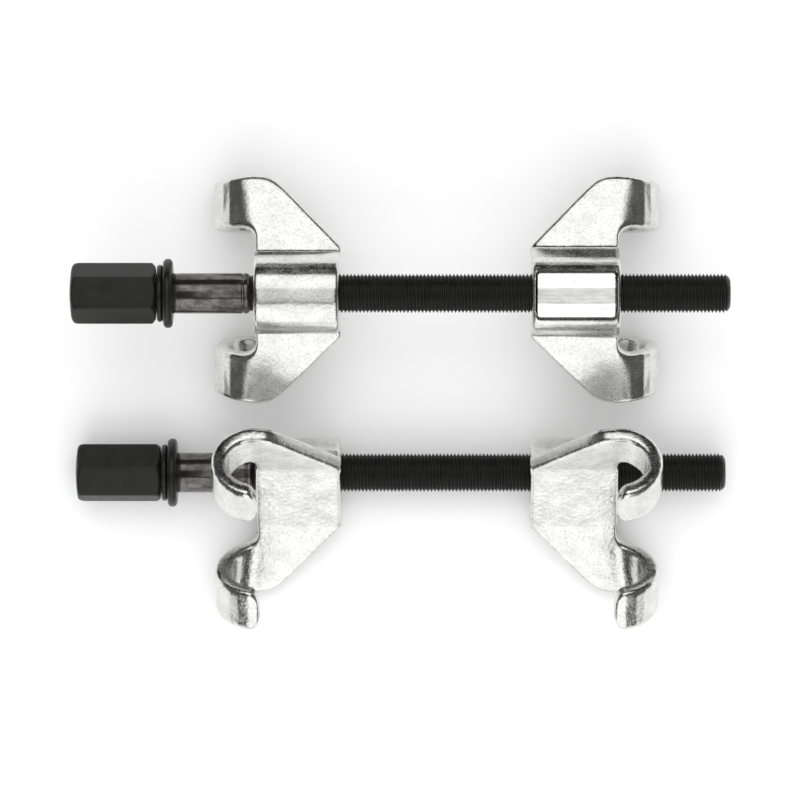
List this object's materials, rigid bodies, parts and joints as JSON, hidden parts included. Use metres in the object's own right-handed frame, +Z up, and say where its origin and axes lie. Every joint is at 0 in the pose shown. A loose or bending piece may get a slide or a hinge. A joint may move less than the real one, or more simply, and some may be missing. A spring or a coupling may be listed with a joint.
{
  "type": "coil spring compressor",
  "caption": "Coil spring compressor: screw clamps whose hooked jaws grip a spring's coils, and whose hexagonal drive heads draw the jaws together.",
  "frame": {"origin": "on the bench under the middle of the pair of clamps", "axes": "+X along both spindles, from the drive heads to the free ends; +Y from the front clamp to the rear clamp; +Z up from the bench"},
  "size_m": [0.2699, 0.189, 0.0799],
  "materials": {
    "black_oxide": "black oxide on steel, thinly oiled, semi-gloss",
    "zinc": "bright zinc plate over a pebbled steel forging",
    "bright_zinc": "bright zinc plate over smooth steel"
  },
  "bodies": {
    "rear_sliding_jaw": {"rear_plain_jaw": "zinc"},
    "rear_washer": {"rear_flange_washer": "black_oxide"},
    "rear_ring": {"rear_friction_ring": "black_oxide"},
    "rear_screw": {"rear_spindle": "black_oxide", "rear_drive_head": "black_oxide"},
    "rear_travelling_jaw": {"rear_threaded_jaw": "zinc", "rear_nut_block": "bright_zinc"},
    "front_sliding_jaw": {"front_plain_jaw": "zinc"},
    "front_washer": {"front_flange_washer": "black_oxide"},
    "front_ring": {"front_friction_ring": "black_oxide"},
    "front_screw": {"front_spindle": "black_oxide", "front_drive_head": "black_oxide"},
    "front_travelling_jaw": {"front_threaded_jaw": "zinc", "front_nut_block": "bright_zinc"}
  },
  "joints": [
    {"name": "rear_jaw_slide", "type": "slide", "parent": "rear_sliding_jaw", "child": "rear_washer", "axis": [1, 0, 0], "range_m": [-0.014, 0.0327]},
    {"name": "rear_jaw_swivel", "type": "hinge", "parent": "rear_washer", "child": "rear_ring", "pos_m": [-0.098, 0.04739, 0.05213], "axis": [1, 0, 0], "range_deg": [-12, 12]},
    {"name": "rear_spindle_turn", "type": "hinge", "parent": "rear_ring", "child": "rear_screw", "pos_m": [0, 0.04739, 0.05213], "axis": [1, 0, 0], "range_deg": [-10080, 14400]},
    {"name": "rear_jaw_travel", "type": "slide", "parent": "rear_ring", "child": "rear_travelling_jaw", "axis": [1, 0, 0], "range_m": [-0.0601, 0.0421]},
    {"name": "front_jaw_slide", "type": "slide", "parent": "front_sliding_jaw", "child": "front_washer", "axis": [1, 0, 0], "range_m": [-0.014, 0.0327]},
    {"name": "front_jaw_swivel", "type": "hinge", "parent": "front_washer", "child": "front_ring", "pos_m": [-0.098, -0.03031, 0.0143], "axis": [1, 0, 0], "range_deg": [-12, 12]},
    {"name": "front_spindle_turn", "type": "hinge", "parent": "front_ring", "child": "front_screw", "pos_m": [0, -0.03031, 0.0143], "axis": [1, 0, 0], "range_deg": [-10080, 14400]},
    {"name": "front_jaw_travel", "type": "slide", "parent": "front_ring", "child": "front_travelling_jaw", "axis": [1, 0, 0], "range_m": [-0.0601, 0.0421]},
    {"name": "front_clamp_lift", "type": "slide", "parent": "rear_sliding_jaw", "child": "front_sliding_jaw", "axis": [0, 0, 1], "range_m": [0, 0.12]}
  ],
  "couplings": [
    {"joint": "rear_jaw_travel", "follows": "rear_spindle_turn", "m_per_rad": -0.00023873},
    {"joint": "front_jaw_travel", "follows": "front_spindle_turn", "m_per_rad": -0.00023873}
  ]
}
